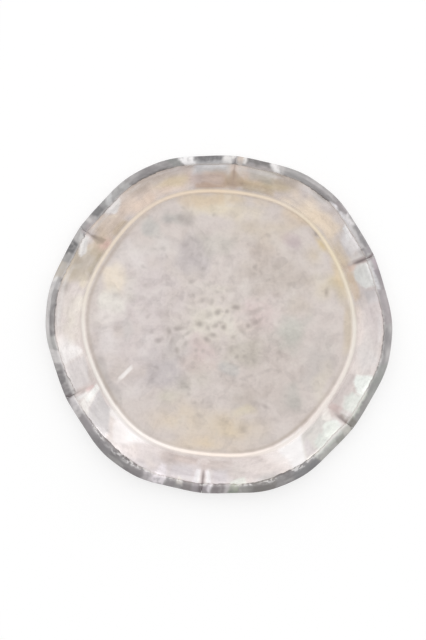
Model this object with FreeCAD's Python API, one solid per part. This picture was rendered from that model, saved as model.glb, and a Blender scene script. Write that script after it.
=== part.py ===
"""A six-lobed church plate (paten): one sheet dish and six lengths of applied border.

Millimetres, +Z up. The origin is the centre of the flat underside that the plate rests on.
A crease lies on the +Y axis and about every 60 degrees from it, so a lobe faces +X.
"""

import FreeCAD
import Part
import math
import os

# ---- Driving dimensions -------------------------------------------------------------------

lobe_radius = 80.0  # centre to the outer edge of the border, in the middle of a lobe
lobe_drop = 1.8  # how much nearer the outer edge comes to the centre beside a crease
dip_width = 8.0  # degrees from the crease to the end of that dip
dip_step = 18.0  # degrees from the end of the dip out to the full radius of the lobe
tip_rise = 0.3  # how far the outer edge stands out again right at a crease
tip_width = 6.8  # degrees from the crease to the end of that tip
crease_turns = (-1.9, 0.0, 0.0, 0.4, 1.1, -0.4)  # degrees by which each crease is off even spacing

flange_width = 16.9  # crown of the bead to the outer edge of the border, in the middle of a lobe
bead_drop = 1.6  # how much nearer the bead comes to the centre at a crease
bead_width = 1.4  # floor of the well to the crown of the bead
bead_height = 0.75  # crown of the bead above the floor of the well
bend_width = 1.7  # crown of the bead to the straight part of the flange
bend_groove = 0.18  # depth of the slight groove in that bend

sheet = 1.0  # gauge of the dish
rim_height = 9.0  # top of the sheet at its edge, in the middle of a lobe
flank_depth = 1.3  # how far the flanks beside a crease sink below the lobe, at the edge
flank_width = 10.0  # degrees from the crease to the end of the sunk flank
flank_step = 12.0  # degrees from the end of the flank up to the full height of the lobe
crease_depth = 0.9  # the narrow V at a crease, at the edge
crease_width = 3.4  # degrees from the crease to the end of the narrow V
under_bend = 3.2  # width of the bend from the flat underside into the flange

border_width = 4.2  # inner edge of the border to its outer edge, seen from above
border_lap = 1.2  # how far the border stands out past the edge of the sheet
border_rise = 0.9  # crest of the border above the edge of the sheet
border_crest = 1.3  # inner edge of the border to its crest
border_lip = 0.3  # thickness of the border at its inner edge
border_hang = 0.35  # how far the border reaches below the sheet's underside
border_nose = 0.55  # radius of the rounding under the outer edge
border_fullness = 1.7  # 2 gives the outer side an elliptical section, less a flatter one
solder_film = 0.1  # between the border and the sheet
mitre_gap = 0.15  # between two lengths of border at a crease

# ---- Outlines and heights -----------------------------------------------------------------
# An angle runs over one lobe, from -half at one crease, over 0 in the middle, to half at the
# next, in degrees of an evenly spaced plate.

lobes = len(crease_turns)
half = 180.0 / lobes
land = border_width - border_lap  # width of the sheet that the border covers


def smooth_step(x):
    """Zero up to 0 and one from 1 on, with a smooth rise between them."""
    x = min(max(x, 0.0), 1.0)
    return x * x * (3.0 - 2.0 * x)


def ramp(x, bend):
    """Zero up to 0, then a bend that wide into a line of slope one."""
    x = max(x, 0.0)
    return x * x / (2.0 * bend) if x < bend else x - bend / 2.0


def beside_crease(angle, width, step):
    """One beside a crease, up to that width, and zero on the lobe past the step."""
    return 1.0 - smooth_step((half - abs(angle) - width) / step)


def at_crease(angle, width):
    """One at a crease, falling to zero at that width, with a sharp point at the crease."""
    return max(0.0, 1.0 - (half - abs(angle)) / width) ** 2


def outer_radius(angle):
    """Centre to the outer edge of the border."""
    dip = lobe_drop * beside_crease(angle, dip_width, dip_step)
    return lobe_radius - dip + tip_rise * at_crease(angle, tip_width)


def crown_radius(angle):
    """Centre to the crown of the bead."""
    towards_crease = (1.0 - math.cos(math.pi * angle / half)) / 2.0
    return lobe_radius - flange_width - bead_drop * towards_crease


def foot_radius(angle):
    """Centre to the foot of the bead, where the flat floor of the well ends."""
    return crown_radius(angle) - bead_width


def bend_radius(angle):
    """Centre to where the straight part of the flange starts."""
    return crown_radius(angle) + bend_width


def border_radius(angle):
    """Centre to the inner edge of the border."""
    return outer_radius(angle) - border_width


def sheet_radius(angle):
    """Centre to the edge of the sheet, under the border."""
    return outer_radius(angle) - border_lap


def flange_slope(angle):
    """Rise over run of the straight part of the flange."""
    run = sheet_radius(angle) - crown_radius(angle) - bend_width / 2.0 - land / 2.0
    sunk = flank_depth * beside_crease(angle, flank_width, flank_step)
    sunk += crease_depth * at_crease(angle, crease_width)
    return (rim_height - sheet - bead_height - sunk) / run


def levelled(r, angle):
    """How much the flange has levelled off, on the land that the border covers."""
    past = min(max(0.0, r - border_radius(angle)), land)
    return flange_slope(angle) * past**2 / (2.0 * land)


def upper(r, angle):
    """Height of the sheet's upper side."""
    past = r - crown_radius(angle)
    if past < 0.0:
        return sheet + bead_height * (1.0 + math.cos(math.pi * max(past / bead_width, -1.0))) / 2.0
    groove = bend_groove * math.sin(math.pi * min(past / bend_width, 1.0)) ** 2
    rise = flange_slope(angle) * ramp(past, bend_width)
    return sheet + bead_height - groove + rise - levelled(r, angle)


def below_upper(angle):
    """Height between the two sides of the straight flange, which lie one gauge apart."""
    return sheet * math.sqrt(1.0 + flange_slope(angle) ** 2)


def base_radius(angle):
    """Centre to the edge of the flat underside."""
    drop = below_upper(angle) - sheet - bead_height
    return crown_radius(angle) + (bend_width - under_bend) / 2.0 + drop / flange_slope(angle)


def under_bend_radius(angle):
    """Centre to where the flange's underside becomes straight."""
    return base_radius(angle) + under_bend


def lower(r, angle):
    """Height of the sheet's underside."""
    past = min(max(0.0, r - border_radius(angle)), land)
    eased = (below_upper(angle) - sheet) * past / land
    return flange_slope(angle) * ramp(r - base_radius(angle), under_bend) - levelled(r, angle) + eased


# ---- Surfaces -----------------------------------------------------------------------------


def spread(low, high, count):
    """Evenly spaced values from low to high."""
    return [low + (high - low) * i / (count - 1) for i in range(count)]


across = spread(0.0, 1.0, 13)  # places across a strip of surface, from its first edge


def angles_over(reach):
    """Angles over one lobe, closer together beside its two creases."""
    return [reach * math.sin(math.pi / 2.0 * s) for s in spread(-1.0, 1.0, 49)]


def place(lobe, r, height, angle):
    """The point at that radius, height and angle of a lobe, with its creases where they are."""
    start, end = [(2.0 * i - 1.0) * half + crease_turns[i % lobes] for i in (lobe, lobe + 1)]
    turn = math.radians(start + (end - start) * (angle + half) / (2.0 * half))
    return FreeCAD.Vector(r * math.cos(turn), r * math.sin(turn), height)


def line(lobe, side, angle):
    """The edge across a strip at one angle; side(share, angle) gives a radius and a height."""
    return interpolated([place(lobe, *side(share, angle), angle) for share in across], across)


def interpolated(points, values):
    """The spline through the points at those parameter values."""
    curve = Part.BSplineCurve()
    curve.interpolate(Points=points, Parameters=values)
    return curve


def strip(lobe, side, angles):
    """The spline surface of one strip over a lobe. Strips that meet share their edge exactly."""
    rows = []
    for share in across:
        row = interpolated([place(lobe, *side(share, angle), angle) for angle in angles], angles)
        rows.append(row)
    columns = [interpolated(list(poles), across) for poles in zip(*[row.getPoles() for row in rows])]
    surface = Part.BSplineSurface()
    surface.buildFromPolesMultsKnots(
        [column.getPoles() for column in columns],
        rows[0].getMultiplicities(),
        columns[0].getMultiplicities(),
        rows[0].getKnots(),
        columns[0].getKnots(),
        False,
        False,
        rows[0].Degree,
        columns[0].Degree,
    )
    return surface.toShape()


def solid_from(faces):
    """The closed solid that the faces enclose."""
    shell = Part.makeShell(faces)
    shell.sewShape()
    solid = Part.makeSolid(Part.Shell(shell.Faces))
    if solid.Volume < 0.0:
        solid.reverse()
    return solid


# ---- Dish ---------------------------------------------------------------------------------


def sheet_side(height, inner, outer):
    """The strip of the sheet's upper or lower side between two outlines."""

    def side(share, angle):
        r = inner(angle) + share * (outer(angle) - inner(angle))
        return r, height(r, angle)

    return side


def sheet_edge(share, angle):
    """The edge of the sheet, from its underside up."""
    r = sheet_radius(angle)
    return r, lower(r, angle) + share * (upper(r, angle) - lower(r, angle))


def dish():
    """The sheet: a flat well, the bead round it, and the flange with its creases."""
    sides = [
        sheet_side(upper, foot_radius, crown_radius),
        sheet_side(upper, crown_radius, bend_radius),
        sheet_side(upper, bend_radius, border_radius),
        sheet_side(upper, border_radius, sheet_radius),
        sheet_edge,
        sheet_side(lower, border_radius, sheet_radius),
        sheet_side(lower, under_bend_radius, border_radius),
        sheet_side(lower, base_radius, under_bend_radius),
    ]
    angles = angles_over(half)
    faces = [strip(lobe, side, angles) for lobe in range(lobes) for side in sides]
    for outline, height in ((foot_radius, sheet), (base_radius, 0.0)):
        rim = []
        for lobe in range(lobes):
            points = [place(lobe, outline(angle), height, angle) for angle in angles]
            rim.append(interpolated(points, angles).toShape())
        faces.append(Part.Face(Part.Wire(rim)))
    return solid_from(faces)


# ---- Border -------------------------------------------------------------------------------


def seat_end(angle):
    """Centre to the border's inner wall, which faces the edge of the sheet."""
    return sheet_radius(angle) + solder_film


def seat_height(r, angle):
    """Height of the border's seat above the sheet."""
    return upper(r, angle) + solder_film


def sole_height(angle):
    """Height of the border's lowest face, outside the edge of the sheet."""
    return lower(sheet_radius(angle), angle) - border_hang


def crest(angle):
    """Radius and height of the border's highest line."""
    return border_radius(angle) + border_crest, upper(sheet_radius(angle), angle) + border_rise


def border_wall(share, angle):
    """From the end of the seat down past the edge of the sheet."""
    r = seat_end(angle)
    top = seat_height(r, angle)
    return r, top + share * (sole_height(angle) - top)


def border_sole(share, angle):
    """From the wall out to the rounding under the outer edge."""
    r = seat_end(angle)
    return r + share * (outer_radius(angle) - border_nose - r), sole_height(angle)


def border_under(share, angle):
    """The rounding from the sole up to the outer edge."""
    turn = math.pi / 2.0 * share
    r = outer_radius(angle) - border_nose * (1.0 - math.sin(turn))
    return r, sole_height(angle) + border_nose * (1.0 - math.cos(turn))


def border_outside(share, angle):
    """From the outer edge up over the outer side to the crest."""
    turn = math.pi / 2.0 * share
    power = 2.0 / border_fullness
    r_crest, z_crest = crest(angle)
    z_edge = sole_height(angle) + border_nose
    r = r_crest + (outer_radius(angle) - r_crest) * max(0.0, math.cos(turn)) ** power
    return r, z_edge + (z_crest - z_edge) * math.sin(turn) ** power


def border_shoulder(share, angle):
    """From the crest down to the lip at the inner edge."""
    turn = math.pi / 2.0 * share
    r_crest, z_crest = crest(angle)
    z_lip = seat_height(border_radius(angle), angle) + border_lip
    return r_crest - border_crest * math.sin(turn), z_lip + (z_crest - z_lip) * math.cos(turn)


def border_lip_side(share, angle):
    """The thin inner edge, down to the seat."""
    r = border_radius(angle)
    return r, seat_height(r, angle) + border_lip * (1.0 - share)


def border_length(lobe):
    """One length of border, over one lobe, mitred to its neighbours at the creases."""
    sides = [
        sheet_side(seat_height, border_radius, seat_end),
        border_wall,
        border_sole,
        border_under,
        border_outside,
        border_shoulder,
        border_lip_side,
    ]
    mitre = math.degrees(mitre_gap / 2.0 / outer_radius(half))
    angles = angles_over(half - mitre)
    faces = [strip(lobe, side, angles) for side in sides]
    for end in (angles[0], angles[-1]):
        faces.append(Part.Face(Part.Wire([line(lobe, side, end).toShape() for side in sides])))
    return solid_from(faces)


# ---- Files --------------------------------------------------------------------------------

os.makedirs("parts", exist_ok=True)
dish().exportStep("parts/dish.step")
for lobe in range(lobes):
    border_length(lobe).exportStep(f"parts/border_length_{lobe + 1}.step")
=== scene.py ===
import math

import bpy
import numpy as np
from mathutils import Matrix, Vector


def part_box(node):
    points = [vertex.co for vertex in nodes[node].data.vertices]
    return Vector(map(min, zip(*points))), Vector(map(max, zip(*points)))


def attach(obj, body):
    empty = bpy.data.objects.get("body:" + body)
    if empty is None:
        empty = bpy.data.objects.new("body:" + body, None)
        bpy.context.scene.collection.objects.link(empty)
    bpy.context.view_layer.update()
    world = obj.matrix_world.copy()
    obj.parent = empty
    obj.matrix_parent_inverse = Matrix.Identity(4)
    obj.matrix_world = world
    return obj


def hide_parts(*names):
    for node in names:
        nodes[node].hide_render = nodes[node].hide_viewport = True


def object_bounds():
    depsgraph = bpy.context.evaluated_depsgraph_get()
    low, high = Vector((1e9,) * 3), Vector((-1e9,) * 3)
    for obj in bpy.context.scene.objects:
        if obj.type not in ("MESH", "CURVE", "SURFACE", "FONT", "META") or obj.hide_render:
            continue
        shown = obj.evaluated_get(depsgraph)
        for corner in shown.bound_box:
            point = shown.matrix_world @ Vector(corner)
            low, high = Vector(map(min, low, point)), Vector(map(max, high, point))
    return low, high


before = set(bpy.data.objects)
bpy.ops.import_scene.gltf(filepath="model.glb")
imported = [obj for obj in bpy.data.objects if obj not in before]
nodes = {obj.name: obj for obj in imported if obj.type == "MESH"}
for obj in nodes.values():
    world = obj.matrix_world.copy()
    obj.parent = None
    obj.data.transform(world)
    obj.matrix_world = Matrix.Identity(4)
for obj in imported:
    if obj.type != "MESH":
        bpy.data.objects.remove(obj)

MM = 0.001
cad_low, cad_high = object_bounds()
border_nodes = sorted(name for name in nodes if name.startswith("border_length_"))

# ---- Sizes, in millimetres, as the frame has them -----------------------------------------

lobe_radius = round(cad_high[0] / MM, 1)
rim_height = round(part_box("dish")[1][2] / MM, 1)
crest_height = round(cad_high[2] / MM, 1)

lobes = len(border_nodes)
half = 180.0 / lobes
crease_turns = (-1.9, 0.0, 0.0, 0.4, 1.1, -0.4)
lobe_drop, dip_width, dip_step = 1.8, 8.0, 18.0
tip_rise, tip_width = 0.3, 6.8
flange_width, bead_drop = 16.9, 1.6
bead_width, bead_height = 1.4, 0.75
bend_width, bend_groove = 1.7, 0.05
sheet = 1.0
flank_depth, flank_width, flank_step = 1.3, 12.5, 8.0
crease_depth, crease_width = 0.9, 3.4
under_bend = 3.2
border_width, border_lap, border_crest = 4.2, 1.2, 1.3
border_rise = crest_height - rim_height
border_lip, border_hang, border_nose, border_fullness = 0.3, 0.35, 0.55, 1.7
solder_film, mitre_gap = 0.1, 0.15
land = border_width - border_lap
flange_middle = lobe_radius - flange_width / 2.0
facet_middle = lobe_radius - 12.0
edge_middle = lobe_radius - 4.0
well_reach = 57.0

# ---- The plate's outlines and heights -----------------------------------------------------
# An angle runs over one lobe, in degrees from its middle to the crease at half.


def smooth_step(x):
    x = np.clip(x, 0.0, 1.0)
    return x * x * (3.0 - 2.0 * x)


def ramp(x, bend):
    x = np.maximum(x, 0.0)
    return np.where(x < bend, x * x / (2.0 * bend), x - bend / 2.0)


def beside_crease(angle, width, step):
    return 1.0 - smooth_step((half - np.abs(angle) - width) / step)


def at_crease(angle, width):
    return np.maximum(0.0, 1.0 - (half - np.abs(angle)) / width) ** 2


def outer_radius(angle):
    dip = lobe_drop * beside_crease(angle, dip_width, dip_step)
    return lobe_radius - dip + tip_rise * at_crease(angle, tip_width)


def crown_radius(angle):
    return lobe_radius - flange_width - bead_drop * (1.0 - np.cos(math.pi * angle / half)) / 2.0


def foot_radius(angle):
    return crown_radius(angle) - bead_width


def bend_radius(angle):
    return crown_radius(angle) + bend_width


def border_radius(angle):
    return outer_radius(angle) - border_width


def sheet_radius(angle):
    return outer_radius(angle) - border_lap


def flange_slope(angle):
    run = sheet_radius(angle) - crown_radius(angle) - bend_width / 2.0 - land / 2.0
    sunk = flank_depth * beside_crease(angle, flank_width, flank_step)
    sunk = sunk + crease_depth * at_crease(angle, crease_width)
    return (rim_height - sheet - bead_height - sunk) / run


def levelled(r, angle):
    past = np.clip(r - border_radius(angle), 0.0, land)
    return flange_slope(angle) * past**2 / (2.0 * land)


def upper(r, angle):
    past = r - crown_radius(angle)
    bead = bead_height * (1.0 + np.cos(math.pi * np.clip(past / bead_width, -1.0, 0.0))) / 2.0
    groove = bend_groove * np.sin(math.pi * np.clip(past / bend_width, 0.0, 1.0)) ** 2
    return sheet + bead - groove + flange_slope(angle) * ramp(past, bend_width) - levelled(r, angle)


def below_upper(angle):
    return sheet * np.sqrt(1.0 + flange_slope(angle) ** 2)


def base_radius(angle):
    drop = below_upper(angle) - sheet - bead_height
    return crown_radius(angle) + (bend_width - under_bend) / 2.0 + drop / flange_slope(angle)


def lower(r, angle):
    past = np.clip(r - border_radius(angle), 0.0, land)
    eased = (below_upper(angle) - sheet) * past / land
    return flange_slope(angle) * ramp(r - base_radius(angle), under_bend) - levelled(r, angle) + eased


def true_turn(lobe, angle):
    """Degrees from +X of an angle of a lobe, with the creases as uneven as the frame has them."""
    start, end = [(2.0 * i - 1.0) * half + crease_turns[i % lobes] for i in (lobe, lobe + 1)]
    return start + (end - start) * (angle + half) / (2.0 * half)


# How dark each crease's line is, and how bright the painted highlight on its two flanks is, before and
# after it.
crease_line = (0.85, 1.0, 0.2, 0.5, 0.3, 1.0)
flank_before = (0.6, 0.2, 0.3, 0.1, 0.1, 0.9)
flank_after = (0.5, 0.5, 0.4, 0.3, 1.0, 0.9)

# How deep the hammer's scales are on the border at each crease.
crease_scale = (0.35, 0.15, 0.0, 0.2, 0.45, 1.0)

# How far each length of the border is made rougher and darkened with painted shade in mid-lobe, on its
# crest and on its inner shoulder, from the first length round. Less than none is brighter: a painted
# highlight.
middle_dull_and_shade = (-0.05, 0.0, 0.6, -0.7, 0.8, 0.8)
shoulder_dull_and_shade = (0.15, 0.6, 0.75, 0.6, 1.0, 1.0)

# How much further in the border's worn inner edge lies: (degrees round, millimetres).
border_reach = (
    (0, 0.0), (150, 0.0), (180, 0.2), (203, 0.1), (206, 0.9), (210.8, 1.2), (211.2, 0.1),
    (221, 0.15), (228, 0.8), (233, 1.6), (238, 1.3), (247, 1.0), (254, 0.3), (267, 0.2),
    (271, 0.5), (277, 0.5), (283, 0.1), (288, 0.5), (294, 1.2), (304, 1.2), (309, 0.7),
    (316, 0.3), (321, 0.9), (325, 0.8), (328, 0.1), (340, 0.1),
)

# ---- Hand work: unevenness, pits and scratches --------------------------------------------


def soft_noise(x, y, size, seed):
    """Smooth noise from -1 to 1 whose bumps are about that size."""
    table = np.random.default_rng(seed).uniform(-1.0, 1.0, (64, 64))
    u, v = x / size, y / size
    i, j = np.floor(u).astype(int), np.floor(v).astype(int)
    s, t = smooth_step(u - i), smooth_step(v - j)

    def at(a, b):
        return table[(i + a) % 64, (j + b) % 64]

    return (at(0, 0) * (1 - s) + at(1, 0) * s) * (1 - t) + (at(0, 1) * (1 - s) + at(1, 1) * s) * t


def oval(x, y, centre, length, width, turn, blunt=2.0):
    """Distance from an oval's centre, one at its edge; turn is the long axis, in degrees."""
    c, s = math.cos(math.radians(turn)), math.sin(math.radians(turn))
    dx, dy = x - centre[0], y - centre[1]
    along, over = dx * c + dy * s, -dx * s + dy * c
    return (np.abs(2.0 * along / length) ** blunt + np.abs(2.0 * over / width) ** blunt) ** (1.0 / blunt)


def scattered(seed, count, reach, apart):
    """Places at random within reach of the middle of the well, at least that far apart."""
    draw = np.random.default_rng(seed)
    places = []
    for _ in range(count * 60):
        x, y = draw.normal(0.0, reach, 2)
        if math.hypot(x, y) < well_reach and all(math.hypot(x - p[0], y - p[1]) > apart for p in places):
            places.append((x, y))
        if len(places) == count:
            break
    return places


def colour(r, g, b):
    """A socket's colour from one written as sRGB from 0 to 255, as all the tables have them."""

    def linear(v):
        v /= 255.0
        return v / 12.92 if v <= 0.04045 else ((v + 0.055) / 1.055) ** 2.4

    return (linear(r), linear(g), linear(b), 1.0)


well_tone = (235, 225, 220)
flange_tone = (228, 218, 214)

# Patches of tone on the well, in millimetres: centre, reach, colour and strength, and for the
# crisper and the softer ones how soft the edge is.
patches = (
    ((-36, -2), (26, 52), (237, 227, 226), 0.8),
    ((30, -18), (30, 34), (227, 216, 210), 0.8),
    ((-3, 3), (18, 13), (246, 239, 229), 0.9),
    ((19, 7), (15, 10), (237, 219, 217), 0.7),
    ((34, -1), (13, 11), (220, 219, 211), 0.8),
    ((26, 24), (22, 13), (223, 212, 204), 0.9),
    ((12, 36), (15, 9), (225, 212, 202), 0.6),
    ((-14, 33), (13, 9), (226, 218, 216), 0.9),
    ((-6, -11), (9, 7), (232, 214, 212), 0.8, 0.6),
    ((-2, 38), (16, 8), (225, 219, 211), 0.7),
    ((-20, 26), (16, 6), (220, 212, 212), 0.6),
    ((-27, 47), (11, 6), (211, 207, 202), 0.9),
    ((-37, 40), (7, 6), (222, 218, 213), 0.8),
    ((-34, 33), (12, 6), (242, 235, 231), 0.7),
    ((30, 43), (7, 5), (217, 201, 204), 0.8),
    ((10, 46), (7, 5), (220, 209, 197), 0.6),
    ((0, 54), (24, 7), (248, 236, 214), 0.8),
    ((-14, 57), (22, 5), (237, 219, 197), 0.8),
    ((30, 53), (14, 6), (231, 215, 199), 0.7),
    ((-49.5, 15.5), (9.5, 10), (255, 243, 228), 1.0, 0.6),
    ((-43, 13), (5, 8), (242, 235, 229), 0.7),
    ((-52, 5), (10, 9), (254, 249, 242), 0.9),
    ((-43, 27), (9, 9), (248, 241, 238), 0.7),
    ((-42, -8), (5, 9), (225, 220, 218), 0.6),
    ((-49, -13), (8, 14), (249, 242, 240), 0.8),
    ((-36, -34), (10, 10), (241, 233, 231), 0.8),
    ((-34, -11), (7, 10), (244, 237, 235), 0.7),
    ((-22, -22), (16, 13), (218, 210, 210), 0.9),
    ((-18, -13), (9, 7), (222, 214, 211), 0.6),
    ((7, -20), (6, 4), (216, 212, 209), 0.9, 0.6),
    ((-8, -20), (11, 6), (239, 221, 212), 0.45),
    ((-6, -27), (9, 6), (222, 214, 204), 0.5),
    ((16, 45), (25, 10), (231, 217, 198), 0.55, 1.2),
    ((-53, -3), (6, 6), (255, 247, 243), 0.8),
    ((14, -12), (12, 8), (218, 210, 200), 0.8),
    ((13, -34), (17, 7), (218, 207, 199), 0.8),
    ((-14, -31), (7, 7), (224, 219, 207), 0.45, 1.2),
    ((-22, -36), (9, 5), (225, 218, 203), 0.7),
    ((6, -46), (30, 12), (238, 222, 198), 0.8, 1.3),
    ((-16, -47), (20, 10), (246, 230, 208), 0.8, 1.2),
    ((9, -50), (13, 6), (241, 221, 184), 0.6, 1.2),
    ((15, -39), (8, 4), (239, 227, 199), 0.6),
    ((0, -56), (28, 7), (245, 227, 202), 0.85, 1.2),
    ((46, -12), (9, 20), (220, 213, 209), 0.7),
    ((40, -32), (9, 9), (213, 210, 204), 0.7),
    ((50, -24), (5, 14), (239, 230, 218), 0.7),
    ((46, 21), (9, 8), (239, 228, 213), 0.7),
    ((36, 12), (9, 5), (229, 218, 207), 0.6),
    ((-37, 40), (4, 4.5), (212, 208, 205), 0.6, 0.7),
    ((-16.5, 32.5), (6.5, 7), (216, 207, 206), 0.7, 0.7),
    ((-28, 46), (4.5, 4), (209, 205, 204), 0.6),
    ((-20.5, 47), (5.5, 4.5), (213, 203, 198), 0.6),
    ((-13, -41), (18, 9), (238, 223, 202), 0.5, 1.4),
    ((18, -47), (15, 8), (235, 218, 192), 0.45, 1.4),
    ((41, 36), (7, 9), (228, 212, 184), 0.5, 1.3),
    ((49, 25), (6, 9), (233, 217, 186), 0.5, 1.3),
    ((24, 48), (13, 5), (230, 214, 189), 0.4, 1.3),
)

# The same on the flange and on both sides of the bead, partly tarnish and partly painted light: the
# near-white ones are painted highlights, and some of the greys are painted shade and reflections. Each
# has degrees round, spread, millimetres past the inner circle of the flange, reach, colour and strength.
ring_patches = (
    (100, 52, 6, 9, (235, 216, 201), 0.9),
    (126, 18, 3.5, 6, (245, 224, 208), 0.9),
    (52, 22, 3.5, 8, (252, 234, 212), 0.9),
    (92, 22, 4.0, 4.5, (218, 192, 164), 0.9),
    (114, 9, 6.5, 4.5, (224, 207, 178), 0.75),
    (74, 10, 7, 5, (206, 190, 166), 0.9),
    (150, 14, 4.0, 6, (226, 206, 184), 0.9),
    (165, 9, 10.0, 6, (195, 183, 172), 0.9),
    (34, 13, 0.6, 4, (238, 218, 188), 0.7),
    (20, 14, 1.5, 3.5, (232, 212, 193), 0.8),
    (43, 12, -2.5, 3, (238, 216, 170), 1.0),
    (6, 16, -2.5, 3, (234, 220, 200), 0.7),
    (12, 20, 9, 7, (224, 214, 214), 0.6),
    (196, 8, 9, 6, (252, 248, 246), 0.9),
    (183, 12, 6, 8, (230, 223, 210), 0.7),
    (264, 34, 8, 11, (228, 219, 219), 0.8),
    (247, 12, 12, 5, (207, 199, 201), 0.8),
    (226, 9, 13, 4, (201, 193, 195), 0.8),
    (292, 9, 12, 5, (200, 195, 193), 0.8),
    (256, 9, 3, 4, (208, 195, 190), 0.8),
    (276, 10, 2.5, 3.5, (214, 201, 195), 0.7),
    (336, 8, 3, 4, (218, 205, 201), 0.6),
    (350, 14, 7, 7, (226, 222, 220), 0.6),
    (149, 5, 1.5, 3, (246, 214, 200), 0.8),
    (27, 12, 9, 6, (232, 222, 219), 0.7),
    (35, 8, 11.5, 4, (206, 200, 198), 0.8),
    (66, 8, 2.5, 3, (250, 234, 216), 0.7),
    (90, 22, -4.0, 4, (238, 219, 190), 0.6),
    (169, 6, 3, 4, (242, 230, 210), 0.8),
    (212, 20, -5.0, 5.0, (208, 200, 197), 0.7),
    (21, 11, -4.5, 5.0, (231, 215, 185), 0.7),
    (228, 9, 1.0, 2.2, (255, 252, 250), 0.7),
    (312, 9, 1.0, 2.2, (255, 250, 248), 0.8),
    (327, 10, 1.0, 2.2, (250, 240, 236), 0.7),
    (250, 4, 7.0, 4.0, (202, 194, 195), 0.7),
    (58, 7, 12.0, 3.4, (188, 181, 175), 0.8),
    (171, 5, 10.5, 4.5, (178, 170, 162), 0.8),
    (209.4, 2.6, 11.6, 2.6, (160, 156, 157), 0.7),
    (26, 13, -3.0, 3, (250, 230, 196), 0.7),
    (149, 3.5, 0.5, 2.6, (250, 212, 200), 0.6),
    (6, 10, 2.0, 3, (242, 230, 224), 0.7),
    (207, 7, 11.5, 4, (212, 206, 205), 0.7),
    (238, 9, 10, 6, (216, 208, 207), 0.7),
    (48, 9, 6, 8, (250, 231, 208), 0.8),
    (74, 12, 11.5, 4.5, (196, 184, 174), 0.8),
    (110, 14, 11.0, 5.0, (206, 194, 188), 1.0),
    (124, 10, 11.5, 4.5, (204, 190, 180), 0.9),
    (268, 14, 9, 5, (238, 229, 229), 0.7),
    (320, 10, 7, 7, (244, 238, 236), 0.8),
    (340, 10, 12, 5, (236, 238, 233), 0.8),
    (176, 9, 3, 5, (246, 238, 228), 0.9),
    (181, 10, 11, 4.5, (207, 201, 198), 0.8),
    (146, 6, 9, 4, (224, 210, 196), 0.7),
)

# The bead's bright line, partly rubbed metal and partly a painted highlight, from its first turn round
# in equal steps: its colour, how far out it lies in millimetres, how wide it is, and how dark the
# painted shade lines outside and inside it are.
bead_first, bead_step = 6.0, 30.0
bead_tones = (
    (255, 248, 238), (255, 240, 212), (255, 240, 222), (255, 234, 208),
    (255, 238, 220), (255, 240, 222), (255, 248, 240), (255, 249, 243),
    (255, 247, 242), (255, 241, 230), (255, 247, 242), (255, 246, 239),
)
bead_shift = (-0.15, 0.1, 0.3, 0.3, 0.3, 0.3, 0.1, -0.05, -0.45, -0.85, 0.6, 0.15)
bead_line = (1.05, 1.0, 0.95, 1.0, 1.0, 0.85, 0.8, 0.85, 1.2, 1.0, 1.1, 0.95)
bead_outer_shade = (0.15, 0.0, 0.0, 0.0, 0.0, 0.25, 0.2, 0.15, 0.0, 0.0, 0.1, 0.3)
bead_shade = (0.1, 0.2, 0.25, 0.25, 0.5, 1.2, 0.7, 1.0, 0.4, 0.5, 1.2, 0.7)

# The deeper punched pits of the well: (centre, length, width, turn, depth). The shallow ones lie
# round a place a little to one side.
pits_aside = 3.0
punched = (
    ((-9.0, -0.8), 3.5, 2.7, -10, 0.14),
    ((-1.2, 5.4), 2.8, 2.5, 60, 0.14),
    ((3.1, 6.3), 2.2, 1.7, 0, 0.11),
    ((1.0, 6.1), 2.6, 1.0, 10, 0.06),
    ((7.0, 8.7), 3.6, 2.0, 0, 0.12),
    ((-8.6, 10.5), 3.2, 2.0, 40, 0.08),
    ((-4.3, 10.0), 3.4, 1.9, 80, 0.08),
    ((-5.0, 4.0), 3.6, 2.8, 20, 0.07),
    ((-1.6, -0.9), 2.9, 1.8, 30, 0.1),
    ((0.8, 0.5), 4.0, 1.4, 0, 0.06),
    ((2.3, -1.0), 3.2, 2.1, -50, 0.12),
    ((-4.9, -2.3), 3.3, 1.9, -65, 0.09),
    ((-2.3, -5.2), 3.5, 2.0, 0, 0.11),
    ((-5.2, -7.5), 3.3, 2.4, -15, 0.11),
    ((-1.8, -10.0), 3.6, 3.4, 0, 0.05),
    ((-18.2, -3.8), 4.8, 1.8, 8, 0.09),
    ((-22.7, -5.4), 2.9, 1.9, -75, 0.11),
    ((-14.0, -5.5), 4.2, 1.5, 38, 0.08),
    ((-14.6, -10.5), 2.9, 2.0, 50, 0.08),
    ((-21.0, -9.5), 3.2, 1.6, 80, 0.07),
    ((-18.5, -13.8), 2.8, 1.8, -80, 0.1),
    ((-9.5, -12.9), 2.3, 1.8, 70, 0.08),
    ((-6.3, -13.0), 1.9, 1.6, 0, 0.07),
    ((9.6, -14.3), 2.1, 1.5, 30, 0.08),
    ((13.4, -13.8), 2.2, 1.6, 20, 0.07),
    ((6.8, -10.8), 3.2, 1.6, 80, 0.07),
    ((7.0, -5.2), 1.9, 1.6, 0, 0.07),
    ((11.3, -2.3), 3.8, 2.1, -50, 0.08),
    ((13.6, 0.5), 2.3, 1.7, 30, 0.12),
    ((17.0, 2.6), 6.8, 1.8, 38, 0.07),
    ((15.8, 7.4), 7.8, 2.5, 26, 0.07),
    ((-27.4, -10.2), 2.8, 2.0, 20, 0.1),
    ((-30.9, -6.6), 2.2, 1.6, 0, 0.07),
    ((-14.8, 18.4), 2.6, 1.7, 10, 0.07),
    ((29.2, -10.2), 2.4, 1.8, -60, 0.08),
    ((48.2, 20.0), 1.6, 2.6, 0, 0.09),
    ((13.8, 28.2), 2.2, 1.5, 40, 0.08),
    ((-28.4, 46.4), 2.2, 2.8, 0, 0.035),
    ((-22.0, 47.0), 3.4, 1.8, -30, 0.03),
    ((-19.5, 45.6), 2.2, 1.5, 20, 0.03),
    ((25.0, -36.2), 4.0, 1.7, -25, 0.08),
)


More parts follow.
